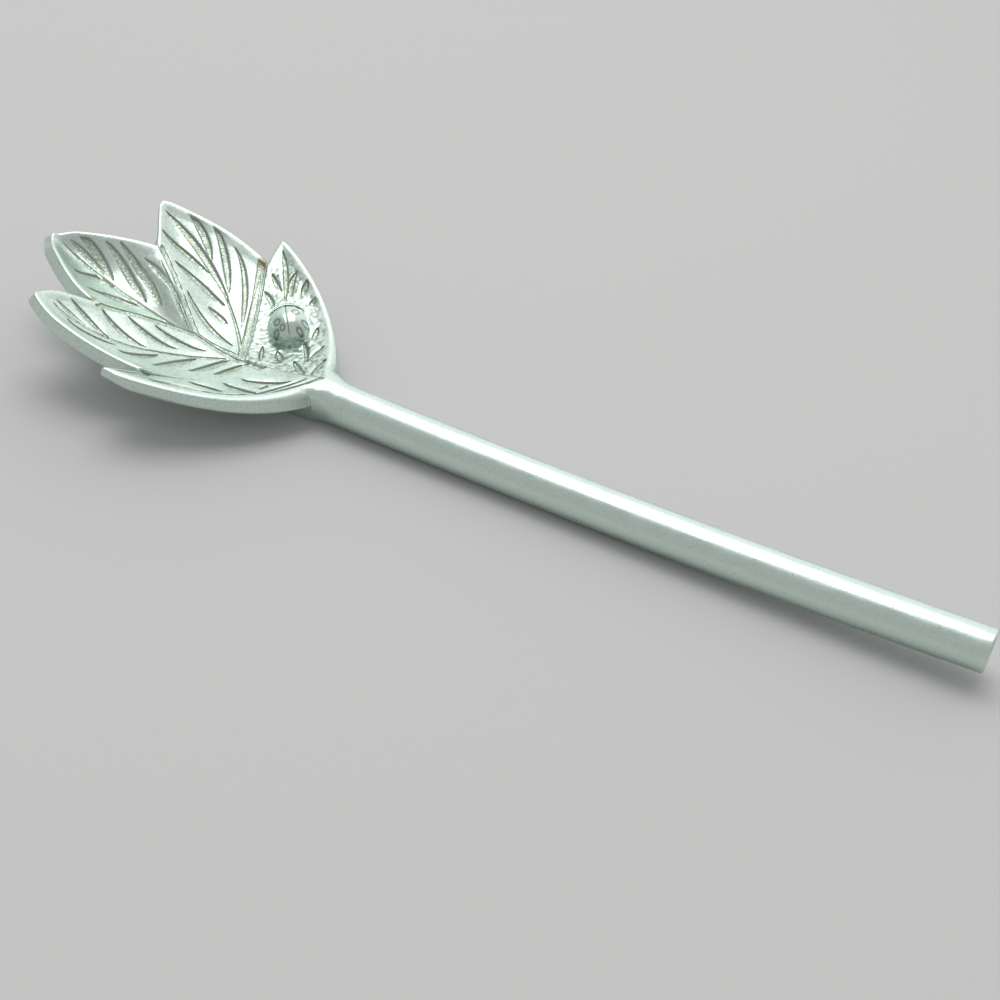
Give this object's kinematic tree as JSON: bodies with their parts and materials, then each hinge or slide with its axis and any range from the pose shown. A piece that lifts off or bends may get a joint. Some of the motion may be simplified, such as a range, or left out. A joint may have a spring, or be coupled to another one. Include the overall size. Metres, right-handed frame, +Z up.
{
  "type": "serving spoon",
  "caption": "Cast metal serving spoon with a shallow bowl of overlapping veined leaves, a ladybird on one leaf and a plain round rod handle with a slight bow.",
  "frame": {"origin": "centre of the bounding box in plan, on the table that the spoon lies on", "axes": "+X along the handle to its free end, +Y to the user's right, +Z up out of the bowl"},
  "size_m": [0.2302, 0.069, 0.0225],
  "materials": {
    "leaf_metal": "satin cast, grooves dulled",
    "rod_metal": "polished, finely scratched",
    "ladybird_metal": "polished"
  },
  "bodies": {
    "root": {"centre_leaf": "leaf_metal", "inner_leaf_left": "leaf_metal", "inner_leaf_right": "leaf_metal", "outer_leaf_left": "leaf_metal", "outer_leaf_right": "leaf_metal", "neck_rat_tail": "rod_metal", "handle_rod": "rod_metal", "ladybird_wing_case_left": "ladybird_metal", "ladybird_wing_case_right": "ladybird_metal", "ladybird_head_shield": "ladybird_metal"}
  },
  "joints": []
}
